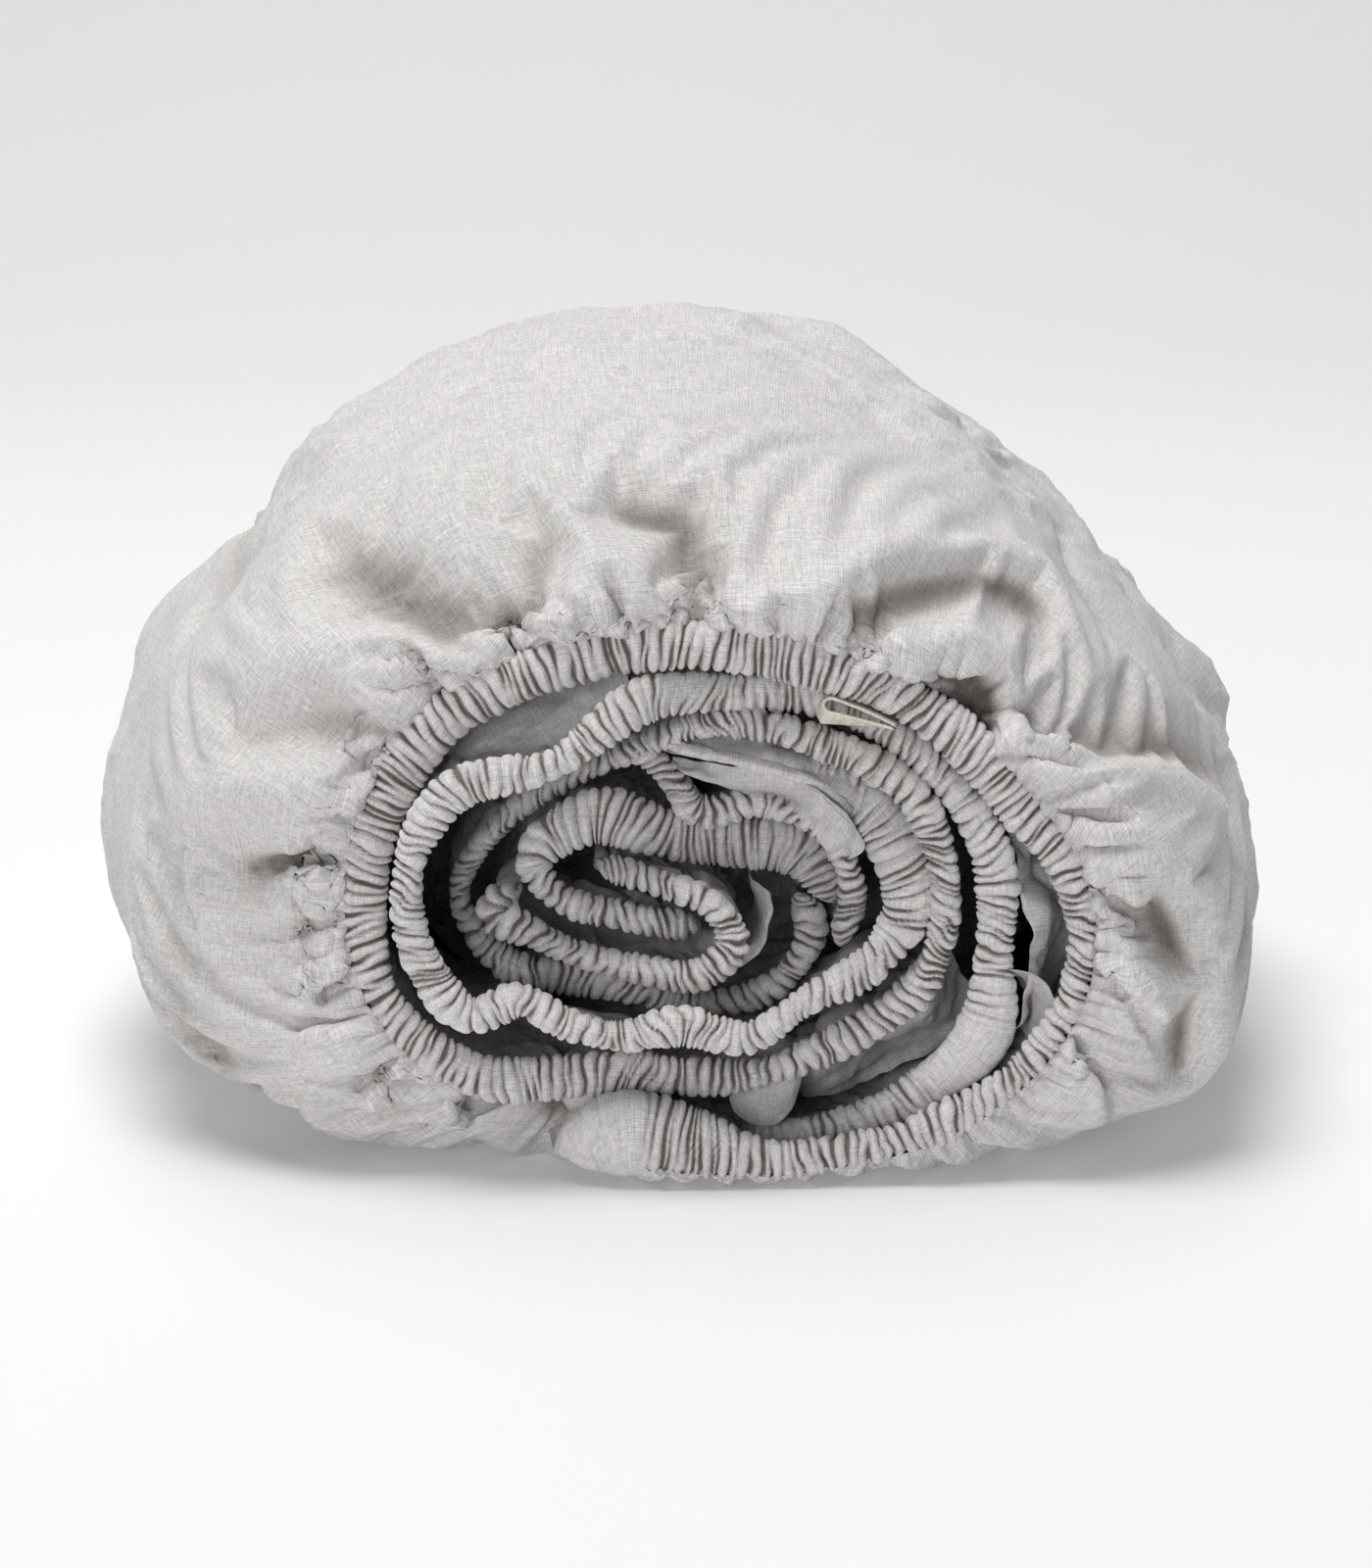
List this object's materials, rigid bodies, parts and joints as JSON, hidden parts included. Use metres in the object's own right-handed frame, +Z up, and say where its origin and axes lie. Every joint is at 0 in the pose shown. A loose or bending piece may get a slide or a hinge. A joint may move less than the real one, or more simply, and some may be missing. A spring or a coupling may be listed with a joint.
{
  "type": "rolled-up fitted linen bed sheet with a gathered elastic hem",
  "caption": "Soft linen fitted bed sheet rolled into a loose bundle and lying on its side, its gathered elastic hem winding round the front end, with a blank tape loop.",
  "frame": {"origin": "on the surface that the roll lies on, under the middle of the box round the whole object", "axes": "+Z up; +Y along the roll, away from the gathered front end, which faces -Y; +X to the right of someone who looks at that end"},
  "size_m": [0.312, 0.348, 0.198],
  "materials": {
    "linen": "plain-woven washed linen in a light warm grey, matt",
    "tape": "blank cream cotton tape, matt"
  },
  "bodies": {
    "root": {"rolled_sheet": "linen", "label": "tape"}
  },
  "joints": []
}
